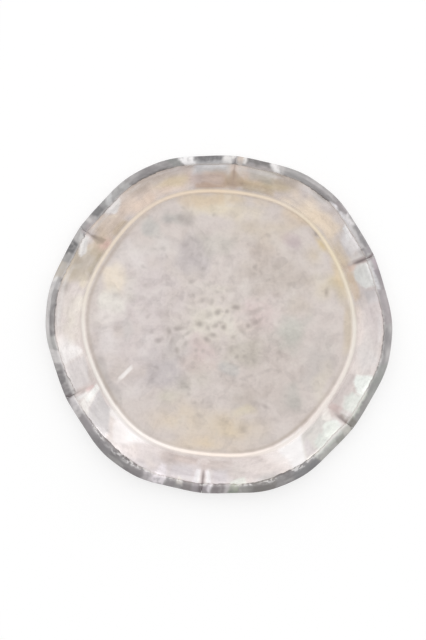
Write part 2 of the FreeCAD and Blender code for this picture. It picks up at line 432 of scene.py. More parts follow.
def pit_list():
    """Every pit of the well, with the shallow ones scattered between the deeper ones."""
    draw = np.random.default_rng(7)
    pits = list(punched)
    for x, y in scattered(seed=11, count=150, reach=26.0, apart=3.6):
        length = draw.uniform(1.5, 3.4)
        width = length * draw.uniform(0.45, 0.75)
        pits.append(((x - pits_aside, y), length, width, draw.normal(28, 35), draw.uniform(0.012, 0.05)))
    return pits


# The same for the bright scratch in the well and the dark nick beside the bead.
scratch = ((-41.2, -26.9), 9.2, 1.9, 50.6, 0.1)
nick = ((40.6, 46.0), 2.4, 1.8, 120.0, 0.35)

# The facets beaten beside each crease: crease, depth, colour, strength, softness of the edge in
# millimetres, and corners, each in degrees past the crease and millimetres past the bead's crown. Their
# colours are partly tarnish and partly painted light: the near-white ones are painted highlights and the
# greys painted reflections. The broad soft ones at the bottom of the picture are calm: they show no
# streaks.
calm_creases, calm_softness = (4, 0), 2.6
facets = (
    (4, -0.05, (241, 235, 234), 0.88, 3.0, ((24, 10.5), (21.5, 11), (13.6, -1.5), (39, -1.5))),
    (4, 0.0, (250, 245, 244), 0.5, 5.0, ((24, 7), (19, 7), (12, -2), (46, -2))),
    (4, 0.12, (220, 216, 216), 0.85, 1.8, ((19.5, 15), (19.5, 8.5), (12, 1.5), (2.3, 1.5), (9, 15))),
    (4, 0.0, (255, 251, 247), 0.85, 1.2, ((9.4, 13), (4, 13), (0.6, 1.5), (2.6, 1.5))),
    (4, 0.0, (255, 255, 252), 0.95, 0.8, ((4.9, 9), (3.8, 9), (0.3, 1.8), (2.1, 1.8), (3.7, 4.6))),
    (4, 0.0, (238, 212, 210), 0.7, 0.8, ((1.4, 7), (0.1, 7), (0.1, 3.4), (0.9, 3.4))),
    (4, 0.0, (170, 158, 158), 0.6, 0.6, ((2.0, 13), (1.3, 13), (0.5, 8), (1.1, 8))),
    (4, 0.12, (228, 222, 221), 0.75, 1.8, ((-0.6, 15), (-9.6, 15), (-13.6, 1.5), (-0.8, 1.5))),
    (4, 0.0, (212, 198, 190), 0.5, 2.2, ((-0.8, 4.5), (-5.5, 4), (-11, 1.2), (-0.8, 1.2))),
    (4, -0.05, (249, 244, 242), 0.8, 1.8, ((-9.8, 15), (-17.2, 15), (-17.2, 4), (-15.5, 2), (-13.6, 2))),
    (3, 0.1, (211, 199, 181), 0.6, 3.0, ((19.5, 6), (21, 15), (8, 15), (1.5, 6), (1.5, 0.4), (16.5, 0.4))),
    (3, 0.0, (192, 178, 152), 0.5, 1.6, ((13, 4.4), (4, 3.6), (4, 0.8), (14, 0.8))),
    (3, 0.1, (234, 215, 198), 0.6, 2.6, ((-1.0, 15), (-8, 15), (-13, 7.5), (-15, 0.4), (-1.6, 0.4))),
    (3, 0.0, (210, 190, 160), 0.4, 1.4, ((-5, 4.2), (-12.5, 4.2), (-14, 0.8), (-5, 0.8))),
    (3, 0.0, (228, 218, 206), 0.6, 1.4, ((9.6, 8.6), (2, 8.6), (3, 6.6), (9.6, 6.4))),
    (3, 0.15, (250, 247, 245), 0.85, 1.1,
     ((3.6, 13.4), (0.9, 12.8), (0.9, 10.6), (6.8, 8.4), (9.2, 9), (8.4, 11))),
    (3, 0.15, (254, 250, 248), 0.85, 1.1,
     ((-8.4, 12.8), (-17, 12.8), (-15.8, 9.6), (-12.8, 8), (-11.5, 8.6))),
    (3, 0.0, (240, 226, 210), 0.6, 0.7, ((-8.8, 10), (-9.8, 10), (-12.2, 6.6), (-11.2, 6.6))),
    (3, 0.0, (180, 168, 148), 0.7, 1.2, ((0.4, 11.2), (1.8, 6.4), (0.6, 4), (-2, 4), (-0.9, 9))),
    (2, 0.1, (222, 204, 200), 0.6, 4.0, ((19, 11), (2.4, 9.8), (2.4, 0.4), (17, 0.4))),
    (2, 0.1, (229, 230, 233), 0.75, 3.2, ((15.6, 15), (1.2, 15), (1.2, 8.4), (15.6, 8.0))),
    (2, 0.0, (202, 170, 140), 0.5, 2.2, ((15, 4.6), (2, 4.2), (2, 0.8), (16, 0.8))),
    (2, 0.1, (206, 188, 157), 0.55, 3.2, ((-3, 7.4), (-17.5, 7.4), (-18.5, 0.8), (-3, 0.8))),
    (2, 0.1, (208, 203, 194), 0.6, 3.4, ((-5, 15), (-16.5, 15), (-15, 6.2), (-5, 6.0))),
    (2, 0.0, (240, 225, 213), 0.7, 1.4, ((-1, 15), (-4.8, 15), (-4.2, 6.6), (-0.6, 10.2))),
    (2, 0.0, (200, 180, 158), 0.7, 1.2, ((0.2, 10.4), (2.8, 6.8), (2.4, 3), (-4.7, 3), (-4.0, 6.2))),
    (1, 0.0, (230, 212, 188), 0.5, 2.6, ((12.5, 7), (0.2, 7), (0.2, 2), (10.5, 2))),
    (1, 0.1, (250, 246, 248), 0.78, 2.6, ((16.4, 15), (3.4, 15), (2.6, 7.6), (4, 5.4), (11, 5.4))),
    (1, 0.0, (254, 252, 252), 0.9, 0.7, ((14.2, 12.6), (12.2, 12.4), (11.8, 10.4), (13.6, 10.2))),
    (1, 0.0, (252, 250, 250), 0.9, 0.7, ((11.4, 11.8), (9.4, 11.4), (9.0, 9.6), (10.8, 9.4))),
    (1, 0.1, (216, 212, 213), 0.6, 1.8, ((-10.4, 14), (-16, 14), (-16.5, 7), (-11, 6.6))),
    (1, 0.0, (226, 205, 182), 0.5, 1.6, ((-2, 4.6), (-14, 5.2), (-15, 1.4), (-2, 1.4))),
    (1, 0.1, (246, 247, 244), 0.85, 1.2,
     ((-1.5, 14), (-10, 14), (-10.6, 8), (-6.2, 4.6), (-2.6, 5.6), (-0.9, 8.2))),
    (1, 0.0, (255, 255, 255), 0.8, 0.9, ((-1.6, 14), (-9.8, 14), (-9.8, 12), (-1.6, 12))),
    (1, 0.0, (240, 208, 186), 0.6, 1.4, ((0.2, 8), (-2.4, 6), (-2.6, 3.6), (0.2, 3.6))),
    (1, 0.0, (160, 148, 150), 0.6, 0.8, ((0.9, 15), (-1.2, 15), (0.0, 7), (1.3, 6.6))),
    (0, 0.1, (222, 212, 209), 0.6, 2.0, ((17, 7), (1.5, 8), (1.5, 1.4), (17, 1.4))),
    (0, 0.1, (240, 245, 238), 0.8, 2.2, ((12.6, 15), (3.2, 15), (3.0, 8), (8, 5), (11.4, 6.5))),
    (0, 0.1, (252, 255, 250), 1.0, 1.5, ((20, 15), (11.2, 15), (10.6, 9), (14.4, 5.4), (17.4, 5.4))),
    (0, 0.0, (206, 182, 178), 0.6, 1.8, ((3.6, 8), (0.2, 9), (0.0, 1.8), (3.4, 1.6))),
    (0, -0.05, (246, 244, 244), 0.88, 2.6, ((-20, 15), (-25, 15), (-28, -1.5), (-13.5, -1.5))),
    (0, 0.0, (238, 234, 233), 0.5, 7.0, ((-20, 14), (-27, 14), (-37, -1), (-14, -1))),
    (0, 0.12, (230, 226, 221), 0.85, 1.5,
     ((-1.6, 15), (-20.5, 15), (-19, 8), (-16.2, 1.4), (-3.6, 1.2))),
    (0, 0.0, (222, 214, 216), 0.6, 1.6, ((-14.5, 12.5), (-19, 11), (-17.8, 6), (-14.5, 3))),
    (0, 0.05, (235, 240, 233), 0.75, 2.0, ((-8, 15), (-15, 15), (-14, 8), (-9, 6))),
    (0, 0.05, (252, 255, 248), 1.0, 1.5,
     ((-2.6, 15), (-8.6, 15), (-9.4, 8), (-6.4, 5), (-3.6, 6), (-1.2, 9))),
    (0, 0.0, (255, 250, 244), 0.9, 1.3,
     ((1.2, 0.9), (-2, 6.6), (-3.8, 6.4), (-5.6, 3.4), (-2.6, 1.6))),
    (0, 0.0, (160, 148, 138), 0.7, 0.9, ((2.6, 14), (-0.2, 14), (0.6, 8.5), (1.8, 8.5))),
    (5, 0.1, (214, 201, 196), 0.6, 2.0, ((12, 4.6), (1.2, 4.6), (1.2, 1), (11.5, 1))),
    (5, 0.1, (214, 198, 191), 0.65, 2.0, ((-2.4, 5.2), (-13.5, 4.4), (-13, 1), (-2, 1))),
    (5, 0.1, (226, 220, 224), 0.5, 2.4, ((10, 13), (4, 13), (2.4, 5), (10, 5))),
    (5, 0.1, (225, 219, 223), 0.5, 2.4, ((-4, 12), (-13, 12), (-13, 5.4), (-3, 5.6))),
    (5, 0.0, (255, 248, 252), 0.95, 0.9, ((4.0, 15), (1.9, 15), (0.7, 6.8), (1.9, 6.4))),
    (5, 0.0, (250, 243, 248), 0.85, 1.0, ((-1.7, 15), (-4.4, 15), (-2.9, 6.4), (-1.1, 6.4))),
    (5, 0.0, (250, 244, 236), 0.8, 0.8, ((-6.8, 13.6), (-9.8, 13.6), (-8.6, 10.2))),
    (5, 0.0, (252, 245, 249), 0.7, 2.2, ((-12.4, 15), (-18.4, 15), (-16.6, 7), (-14, 7))),
    (5, 0.0, (244, 248, 239), 0.7, 1.4, ((16.6, 15), (9, 15), (9.6, 10.6), (15.6, 9.4))),
    (5, 0.0, (246, 236, 232), 0.6, 1.2, ((2.4, 2.4), (0.8, 4.2), (-1.4, 4.2), (-2.8, 2.4), (0, 0.8))),
)

# Blocks and streaks on the border beside each crease, partly its own hammered and rubbed blotches and
# partly painted light: the pale ones are painted highlights, the dark ones painted shade and dark
# reflections.
# Each has crease, degrees past it from and to, colour, strength and, for those that don't cross the whole
# border, millimetres past the bead's crown from and to.
border_across = (10, 20)
border_blocks = (
    (4, 24, 14, (156, 152, 154), 0.75),
    (4, 14, 7.5, (172, 166, 168), 0.7),
    (4, 7.5, 3, (220, 215, 215), 0.8),
    (4, 5, 0.6, (226, 221, 222), 0.8, 10, 16.6),
    (4, 0.2, -1.4, (126, 118, 120), 0.8),
    (4, -1.4, -5, (150, 145, 147), 0.75),
    (4, -5, -9.8, (136, 132, 134), 0.85, 13.4, 20),
    (4, -9.8, -12.5, (169, 165, 165), 0.7),
    (4, -12.5, -17.6, (233, 229, 228), 0.8),
    (4, -17.6, -22, (203, 202, 200), 0.7),
    (3, 22, 19.5, (200, 197, 198), 0.7),
    (3, 19.8, 17.5, (235, 232, 230), 0.8, 14.4, 16.4),
    (3, 18.5, 12.5, (197, 189, 179), 0.8),
    (3, 12.5, 9.3, (163, 161, 160), 0.7),
    (3, 9.3, 4.7, (120, 119, 120), 0.95, 12.4, 20),
    (3, 4.7, 0.9, (189, 187, 186), 0.75),
    (3, 4.2, 1, (224, 222, 220), 0.8, 10, 14.2),
    (3, 0.9, -2.8, (164, 162, 163), 0.7, 14.4, 20),
    (3, 0.6, -5.2, (194, 184, 184), 0.8, 10, 14.4),
    (3, -3.4, -4.6, (214, 211, 210), 0.7, 14.2, 16.4),
    (3, -6, -10.6, (131, 130, 131), 0.95, 12.8, 20),
    (3, -10.6, -12.4, (163, 163, 162), 0.8, 12.8, 20),
    (3, -12.4, -15.2, (215, 215, 215), 0.8),
    (3, -15.2, -22, (196, 195, 194), 0.7),
    (2, 22, 18.6, (145, 148, 145), 0.65),
    (2, 18.6, 13.3, (246, 244, 244), 0.95),
    (2, 14, 1.4, (191, 190, 192), 0.85, 10, 14.4),
    (2, 14, 4.6, (124, 122, 124), 0.95, 14.3, 16.5),
    (2, 4.6, 1.0, (236, 233, 231), 0.85, 12.8, 20),
    (2, -0.4, -2.8, (218, 204, 193), 0.8),
    (2, -2.8, -4, (240, 236, 232), 0.85, 13.6, 20),
    (2, -4, -12.7, (183, 175, 173), 0.85, 10, 14.3),
    (2, -4.2, -12.7, (128, 125, 124), 0.95, 14.2, 16.6),
    (2, -12.7, -15.6, (244, 241, 240), 0.95),
    (2, -15.6, -17.6, (205, 201, 199), 0.7),
    (2, -17.6, -24, (169, 167, 166), 0.6),
    (1, 24, 16.5, (159, 151, 153), 0.75, 13.8, 16.2),
    (1, 21, 16, (206, 200, 202), 0.7, 16.4, 20),
    (1, 24, 12, (240, 236, 238), 0.8, 10, 14),
    (1, 16.5, 12, (236, 232, 233), 0.9, 12, 15.8),
    (1, 22.2, 19.8, (255, 252, 255), 0.95, 11.2, 13.7),
    (1, 18.8, 16.6, (255, 252, 255), 0.95, 11.2, 13.6),
    (1, 12.4, 3.8, (222, 218, 219), 0.85, 10, 14.4),
    (1, 3.8, 1, (178, 171, 174), 0.8, 10, 14.8),
    (1, 12.3, 3.4, (147, 144, 146), 0.85, 14.4, 16.5),
    (1, 3.4, 1, (167, 161, 165), 0.8, 14.8, 20),
    (1, 0.9, -1, (138, 122, 124), 0.8),
    (1, -1, -12, (240, 238, 240), 0.9, 10, 14.4),
    (1, -1, -5, (187, 175, 181), 0.8, 14.6, 20),
    (1, -5, -12, (159, 151, 155), 0.85, 14.6, 16.5),
    (1, -12, -24, (181, 173, 175), 0.8),
    (0, 24, 12, (172, 174, 170), 0.7),
    (0, 20, 17, (171, 173, 169), 0.6),
    (0, 12, 2.8, (172, 171, 168), 0.75, 13.6, 20),
    (0, 12, 2.8, (214, 219, 208), 0.9, 10, 13.8),
    (0, 2.8, -0.4, (152, 149, 140), 0.8),
    (0, -0.4, -3.4, (212, 210, 201), 0.75),
    (0, -3.6, -7.6, (166, 166, 158), 0.85, 14, 20),
    (0, -3.6, -16, (213, 217, 209), 0.9, 10, 14),
    (0, -7.6, -16, (196, 196, 190), 0.75, 14, 20),
    (0, -16, -26, (145, 145, 147), 0.7),
    (5, 26, 17.5, (142, 138, 134), 0.75),
    (5, 17.5, 12.5, (167, 165, 161), 0.7),
    (5, 12.5, 9.3, (146, 154, 140), 0.8, 14.6, 20),
    (5, 12.5, 9.3, (193, 196, 181), 0.75, 10, 14.6),
    (5, 9.3, 7.7, (206, 200, 201), 0.8),
    (5, 7.7, 3, (148, 140, 142), 0.85),
    (5, 2.9, 1.6, (244, 238, 242), 0.9, 10, 16.6),
    (5, 1.6, -0.1, (167, 157, 163), 0.7),
    (5, -0.1, -1.4, (130, 122, 124), 0.9),
    (5, -1.4, -3.6, (171, 163, 167), 0.75),
    (5, -3.6, -7, (154, 147, 147), 0.85),
    (5, -7, -9.5, (226, 220, 214), 0.75, 10, 14.6),
    (5, -9.5, -12.8, (163, 157, 159), 0.8),
    (5, -13.2, -18.6, (250, 243, 247), 0.9, 10, 16.2),
    (5, -17.6, -21.4, (212, 206, 208), 0.75),
    (5, -21.4, -26, (160, 154, 156), 0.6),
)


def crease_turn(crease):
    return (2.0 * crease - 1.0) * half + crease_turns[crease]


def degrees_past(turn, start):
    """How far past start each turn is, in degrees, the shorter way round."""
    return (np.degrees(turn) - start + 180.0) % 360.0 - 180.0


def inside_facet(turn, past, crease, corners):
    """How many millimetres each point is inside a facet, or less than none outside it."""
    u = np.radians(degrees_past(turn, crease_turn(crease))) * facet_middle
    spots = [(math.radians(at) * facet_middle, out) for at, out in corners]
    edges = list(zip(spots, spots[1:] + spots[:1]))
    way = 1.0 if sum(p[0] * q[1] - q[0] * p[1] for p, q in edges) > 0.0 else -1.0
    inside = np.full(len(u), 99.0)
    for p, q in edges:
        du, dv = q[0] - p[0], q[1] - p[1]
        inside = np.minimum(inside, way * (du * (past - p[1]) - dv * (u - p[0])) / math.hypot(du, dv))
    return inside


def relief(x, y, r, turn, angle):
    """The hand work on the upper side: heights, and how dark, bright and haloed each point is."""
    beaten = 1.0 + 1.3 * smooth_step((r - bend_radius(angle)) / 4.0)
    height = beaten * (0.035 * soft_noise(x, y, 7.0, 1) + 0.018 * soft_noise(x, y, 3.4, 2))
    dark = np.zeros_like(x)
    halo = np.zeros_like(x)
    for centre, length, width, lean, depth in pit_list():
        near = np.abs(x - centre[0]) + np.abs(y - centre[1]) < 12.0
        d = oval(x[near], y[near], centre, 1.15 * length, 1.25 * width, lean)
        d = d * (1.0 + 0.3 * soft_noise(x[near], y[near], 1.6, 3))
        height[near] -= depth * np.exp(-(d**2))
        height[near] += 0.3 * depth * np.exp(-((d - 1.6) ** 2) / 0.25)
        strength = min(1.0, depth / 0.12)
        crowded = math.exp(-((math.hypot(centre[0] + 1.0, centre[1]) / 17.0) ** 2))
        dark[near] = np.maximum(dark[near], strength * np.exp(-(d**2.4)))
        halo[near] = np.maximum(halo[near], crowded * strength * np.exp(-((d / 2.2) ** 3)))
    d = oval(x, y, *nick[:4])
    height -= nick[4] * np.exp(-(d**2))
    dark = np.maximum(dark, np.exp(-(d**2)))
    d = oval(x, y, *scratch[:4], blunt=4.0) + 0.15 * soft_noise(x, y, 1.3, 5)
    bright = np.exp(-(np.clip(d, 0.0, 3.0) ** 6))
    height -= scratch[4] * bright
    for crease, depth, _, _, _, corners in facets:
        height -= depth * smooth_step(inside_facet(turn, r - crown_radius(angle), crease, corners) / 2.5)
    return height, dark, bright, halo


def calm(turn, past):
    """One on the calm facets."""
    broad = [facet for facet in facets if facet[4] >= calm_softness and facet[0] in calm_creases]
    depths = [inside_facet(turn, past, facet[0], facet[-1]) for facet in broad]
    return smooth_step((np.max(depths, axis=0) + 0.5) / 2.0)


def round_bead(values, turn):
    """A value laid round the bead, from its first turn in equal steps."""
    off = (np.degrees(turn) - bead_first) % 360.0
    return np.interp(off, bead_step * np.arange(len(values)), values, period=360.0)


def shade_by_bead(turn, past):
    """The painted shade line inside the bead and the fainter one outside it."""
    within = round_bead(bead_shade, turn) * np.exp(-(((past + 1.9) / 0.9) ** 2))
    return within + round_bead(bead_outer_shade, turn) * np.exp(-(((past - 1.5) / 0.7) ** 2))


def on_bead(r, turn, angle, width):
    """One along the bead's bright line, rubbed metal with a painted highlight."""
    off = r - crown_radius(angle) - round_bead(bead_shift, turn)
    return np.exp(-(np.abs(off / (width * round_bead(bead_line, turn))) ** 3))


def patched(x, y, r, turn, angle, top):
    """The sheet's colour at each point: the bare tone with every patch and facet laid over it, some of them
    painted highlights and shade.
    """
    tone = np.tile(np.array(colour(*well_tone)[:3]), (len(x), 1))
    past = r - (lobe_radius - flange_width)
    wander = 0.3 * soft_noise(x, y, 9.0, 41) + 0.2 * soft_noise(x, y, 4.2, 42)

    def lay(d, tint, share, fade=0.85):
        cover = top * share * smooth_step((1.0 - d) / fade)
        tone[:] += cover[:, None] * (np.array(colour(*tint)[:3]) - tone)

    lay(np.where(past > -0.5, 0.0, 2.0), flange_tone, 1.0)
    for seed, (centre, reach, tint, share, *fade) in enumerate(patches):
        edge = 0.25 * soft_noise(x, y, 6.0, 50 + seed)
        d = np.hypot((x - centre[0]) / reach[0], (y - centre[1]) / reach[1])
        ragged = 0.4 if fade and fade[0] > 1.0 else 1.0
        lay(d + ragged * (wander + edge), tint, share, *fade)
    # Patches round the flange and bead: tarnish, with painted highlights and painted shade among them.
    for seed, (at, spread, out, reach, tint, share) in enumerate(ring_patches):
        off = degrees_past(turn, at)
        edge = 0.25 * soft_noise(x, y, 6.0, 120 + seed)
        lay(np.hypot(off / spread, (past - out) / reach) + wander + edge, tint, share)
    waver = 0.28 * soft_noise(x, y, 4.0, 43) + 0.16 * soft_noise(x, y, 1.7, 44)
    # Facets' colours: tarnish, with painted highlights and reflections among them.
    for crease, _, tint, share, fade, corners in facets:
        inside = inside_facet(turn, r - crown_radius(angle), crease, corners) + waver * min(fade, 2.0)
        lay(0.5 - inside, tint, share, fade)
    # The bead's line: rubbed metal with a painted highlight laid over it.
    wear_and_painted_light = on_bead(r, turn, angle, 1.0) * top
    tones = np.array([colour(*tint)[:3] for tint in bead_tones])
    for channel in range(3):
        bead = round_bead(tones[:, channel], turn)
        tone[:, channel] += wear_and_painted_light * (bead - tone[:, channel])
    return np.column_stack([tone, np.ones(len(x))])


def blocked(x, y, turn, past):
    """The colour of the border's blocks at each point, painted highlights and shade among them, with how
    much of it there is as alpha.
    """
    tone = np.ones((len(x), 3)) * 0.5
    share = np.zeros(len(x))
    waver = 0.7 * soft_noise(x, y, 2.6, 61) + 0.5 * soft_noise(x, y, 1.2, 62)
    lean = 0.9 * (past - 14.5) * soft_noise(x, y, 9.0, 63)
    for crease, start, end, tint, strength, *across in border_blocks:
        inner, outer = across or border_across
        u = np.radians(degrees_past(turn, crease_turn(crease))) * lobe_radius + lean
        first, last = math.radians(start) * lobe_radius, math.radians(end) * lobe_radius
        inside = np.minimum(np.minimum(first - u, u - last), np.minimum(past - inner, outer - past))
        cover = strength * smooth_step((inside + waver + 0.9) / 1.8)
        total = cover + share * (1.0 - cover)
        mixed = cover[:, None] * np.array(colour(*tint)[:3]) + (share * (1.0 - cover))[:, None] * tone
        tone = np.where(total[:, None] > 0.0, mixed / np.maximum(total, 1e-6)[:, None], tone)
        share = total
    return np.column_stack([tone, share])


# ---- Meshes -------------------------------------------------------------------------------


def lobe_angles(count, reach):
    """Angles over one lobe, closer together beside its creases."""
    s = np.linspace(-1.0, 1.0, count)
    return reach * (0.55 * s + 0.45 * np.sin(math.pi / 2.0 * s))


def mesh_object(name, points, faces, marks, tint, material):
    """A mesh from points in millimetres, with named values and a colour at each for its material."""
    mesh = bpy.data.meshes.new(name)
    mesh.from_pydata([tuple(p) for p in np.asarray(points) * MM], [], faces)
    mesh.update()
    for mark, values in marks.items():
        layer = mesh.attributes.new(mark, "FLOAT", "POINT")
        layer.data.foreach_set("value", np.asarray(values, dtype=np.float32))
    layer = mesh.attributes.new("tint", "FLOAT_COLOR", "POINT")
    layer.data.foreach_set("color", np.asarray(tint, dtype=np.float32).ravel())
    mesh.polygons.foreach_set("use_smooth", [True] * len(mesh.polygons))
    mesh.materials.append(material)
    piece = bpy.data.objects.new(name, mesh)
    bpy.context.scene.collection.objects.link(piece)
    return piece


def dish_rings():
    """From the middle of the upper side out, over the edge and back under: (radius, height, step).
    A ring with a step of n uses every nth column."""
    rings = []

    def add(inner, outer, count, height, step=1, first=False):
        for i in range(0 if first else 1, count + 1):
            rings.append((inner, outer, i / count, height, step))

    def at(share):
        return lambda angle: share * foot_radius(angle)

    add(at(0.012), at(0.24), 25, upper, 4, first=True)
    add(at(0.24), at(0.5), 27, upper, 2)
    add(at(0.5), foot_radius, 54, upper)
    add(foot_radius, crown_radius, 8, upper)
    add(crown_radius, bend_radius, 8, upper)
    add(bend_radius, border_radius, 24, upper)
    add(border_radius, sheet_radius, 4, upper)
    add(sheet_radius, border_radius, 4, lower, first=True)
    add(border_radius, lambda a: base_radius(a) + under_bend, 12, lower)
    add(lambda a: base_radius(a) + under_bend, base_radius, 6, lower)
    return rings


def dish_mesh(material):
    per_lobe = 96
    columns = [(lobe, angle) for lobe in range(lobes) for angle in lobe_angles(per_lobe + 1, half)[:-1]]
    angles = np.array([angle for _, angle in columns])
    turns = np.radians([true_turn(lobe, angle) for lobe, angle in columns])
    before = np.array([angle > 0.0 for _, angle in columns])
    nearest = (np.array([lobe for lobe, _ in columns]) + before) % lobes
    rs, zs, local, tops, steps, starts = [], [], [], [], [], []
    total = 0
    for inner, outer, share, height, step in dish_rings():
        a = angles[::step]
        r = inner(a) + share * (outer(a) - inner(a))
        rs.append(r)
        zs.append(height(r, a))
        local.append(a)
        tops.append(np.full(len(a), height is upper))
        steps.append(step)
        starts.append(total)
        total += len(a)
    r, z, a, top = [np.concatenate(part) for part in (rs, zs, local, tops)]
    turn, crease, before = [np.concatenate([v[::step] for step in steps]) for v in (turns, nearest, before)]
    x, y = r * np.cos(turn), r * np.sin(turn)
    lift, dark, bright, halo = relief(x, y, r, turn, a)
    beside = np.radians(half - np.abs(a)) * r
    flank = np.where(before, np.array(flank_before)[crease], np.array(flank_after)[crease])
    # A low raised line beside each crease; its mark also lays a near-white painted highlight on the
    # crease's flank.
    ridge_and_highlight = flank * np.exp(-(((beside - 2.5) / 1.2) ** 2)) * smooth_step((r - bend_radius(a) - 3.0) / 4.0)
    lift += 0.14 * ridge_and_highlight
    ease = 1.0 - smooth_step((r - border_radius(a) + 1.0) / 1.0)
    z = np.where(top, z + lift * ease, z)
    faces = []
    for k in range(len(steps) - 1):
        inner, outer = starts[k], starts[k + 1]
        n, m = len(rs[k]), len(rs[k + 1])
        for i in range(n):
            j = (i + 1) % n
            if n == m:
                faces.append((inner + i, outer + i, outer + j, inner + j))
            else:
                b0, b1, b2 = outer + 2 * i, outer + 2 * i + 1, outer + (2 * i + 2) % m
                faces += [(inner + i, b0, b1), (inner + i, b1, inner + j), (inner + j, b1, b2)]
    points = np.stack([x, y, z], axis=1)
    middle_top, middle_base = len(points), len(points) + 1
    points = np.vstack([points, [[0.0, 0.0, sheet], [0.0, 0.0, 0.0]]])
    first, last = len(rs[0]), starts[-1]
    faces += [(middle_top, i, (i + 1) % first) for i in range(first)]
    n = len(rs[-1])
    faces += [(middle_base, last + (i + 1) % n, last + i) for i in range(n)]
    past = r - crown_radius(a)
    fold = smooth_step((past - 5.0) / 4.5) * top
    pad = [0.0, 0.0]
    marks = {
        "dark": np.append(dark * top, pad),
        "bright": np.append(bright * top, pad),
        "halo": np.append(halo * top, pad),
        "wear_and_highlight": np.append(on_bead(r, turn, a, 0.95) * top, pad),
        "crease": np.append(np.array(crease_line)[crease] * np.exp(-((beside / 0.85) ** 2)) * fold, pad),
        "ridge_and_highlight": np.append(ridge_and_highlight * top, pad),
        "fold": np.append(np.exp(-((beside / 2.2) ** 2)) * smooth_step(past / 3.0) * top, pad),
        "shade": np.append(shade_by_bead(turn, past) * top, pad),
        "calm": np.append(calm(turn, past) * top, pad),
        "flange": np.append(smooth_step((past - 0.5) / 2.0), pad),
        # Painted highlight: a pale strip on the flange just inside the border.
        "edge": np.append(np.exp(-(((border_radius(a) - r - 1.4) / 0.9) ** 2)) * top, pad),
        "along": np.append(flange_middle * turn, pad),
        "across": np.append(past, pad),
    }
    tint = np.vstack([patched(x, y, r, turn, a, top), [colour(*well_tone)] * 2])
    return mesh_object("dish_sheet", points, faces, marks, tint, material)


def ragged_edge(turn):
    """How ragged the border's inner edge is: one at the bottom of the picture, 0.8 at its right."""
    bottom = smooth_step((np.cos(turn - math.radians(265.0)) - 0.55) / 0.25)
    return np.maximum(bottom, 0.8 * smooth_step((np.cos(turn + math.radians(2.0)) - 0.94) / 0.04))


def border_section(angle, jag):
    """The closed outline of the border's section at one angle: radius, height and how far round."""
    r_wall = sheet_radius(angle) + solder_film
    r_in = border_radius(angle) + jag
    r_crest = border_radius(angle) + border_crest
    z_sheet = upper(sheet_radius(angle), angle)
    z_crest = z_sheet + border_rise
    z_sole = lower(sheet_radius(angle), angle) - border_hang
    z_edge = z_sole + border_nose
    z_lip = upper(r_in, angle) + solder_film + border_lip
    r_out = outer_radius(angle)
    outline = []
    for share in np.linspace(0.0, 1.0, 5):
        r = r_in + share * (r_wall - r_in)
        outline.append((r, upper(r, angle) + solder_film, 0.0))
    for share in (0.5, 1.0):
        top = upper(r_wall, angle) + solder_film
        outline.append((r_wall, top + share * (z_sole - top), 0.0))
    for share in np.linspace(0.0, 1.0, 5):
        turn = math.pi / 2.0 * share
        r = r_out - border_nose * (1.0 - math.sin(turn))
        outline.append((r, z_sole + border_nose * (1.0 - math.cos(turn)), 0.15 * share))
    power = 2.0 / border_fullness
    for share in np.linspace(0.0, 1.0, 15)[1:]:
        turn = math.pi / 2.0 * share
        r = r_crest + (r_out - r_crest) * max(0.0, math.cos(turn)) ** power
        outline.append((r, z_edge + (z_crest - z_edge) * math.sin(turn) ** power, 0.15 + 0.6 * share))
    for share in np.linspace(0.0, 1.0, 8)[1:]:
        turn = math.pi / 2.0 * share
        r = r_crest - (r_crest - r_in) * math.sin(turn)
        outline.append((r, z_lip + (z_crest - z_lip) * math.cos(turn), 0.75 + 0.25 * share))
    return outline


def border_mesh(lobe, name, material):
    mitre = math.degrees(mitre_gap / 2.0 / outer_radius(half))
    angles = lobe_angles(161, half - mitre)
    rs, zs, rounds, aa = [], [], [], []
    for angle in angles:
        turn = math.radians(true_turn(lobe, angle))
        x, y = edge_middle * math.cos(turn), edge_middle * math.sin(turn)
        jag = 0.24 * float(soft_noise(np.array([x]), np.array([y]), 1.1, 21)[0])
        jag -= float(np.interp(math.degrees(turn) % 360.0, *zip(*border_reach)))
        for r, z, share in border_section(angle, jag):
            rs.append(float(r))
            zs.append(float(z))
            rounds.append(share)
            aa.append(angle)
    r, z, share, a = [np.array(v) for v in (rs, zs, rounds, aa)]
    turn = np.radians([true_turn(lobe, angle) for angle in aa])
    x, y = r * np.cos(turn), r * np.sin(turn)
    outer = share > 0.0
    off = half - np.abs(a)
    side = 1.0 - smooth_step((off - 14.5) / 4.0)
    scale = np.sin(math.pi * (flange_middle * turn + 1.6 * soft_noise(x, y, 5.0, 33)) / 3.4) ** 2
    scale = scale * np.where(a < 0.0, crease_scale[lobe], crease_scale[(lobe + 1) % lobes])
    hammer = 0.05 * soft_noise(x, y, 2.3, 31) + 0.06 * soft_noise(x, y, 5.2, 32) - 0.09
    hammer = hammer - 0.08 * side * scale
    weight = np.where(outer, np.sin(math.pi * np.clip(share, 0.0, 1.0)), 0.0)
    z = z + hammer * weight
    r = r + 0.6 * hammer * weight
    x, y = r * np.cos(turn), r * np.sin(turn)
    count = len(border_section(0.0, 0.0))
    rows = len(angles)
    faces = []
    for i in range(rows - 1):
        for j in range(count):
            k = (j + 1) % count
            faces.append((i * count + j, (i + 1) * count + j, (i + 1) * count + k, i * count + k))
    faces.append(tuple(range(count)))
    faces.append(tuple((rows - 1) * count + j for j in reversed(range(count))))
    across = r - border_radius(a)
    shoulder = 1.0 - smooth_step((across - 1.9) / 0.7)
    marks = {
        "lip": np.exp(-((np.maximum(across, 0.0) / 0.7) ** 2)),
        "low": ragged_edge(turn),
        "scale": scale * side,
        "dull_and_shade": (1.0 - side) * (middle_dull_and_shade[lobe] * (1.0 - shoulder) + shoulder_dull_and_shade[lobe] * shoulder),
        "along": flange_middle * turn,
        "across": across,
    }
    tint = blocked(x, y, turn, r - crown_radius(a))
    return mesh_object(name, np.stack([x, y, z], axis=1), faces, marks, tint, material)


# ---- Material helpers ---------------------------------------------------------------------


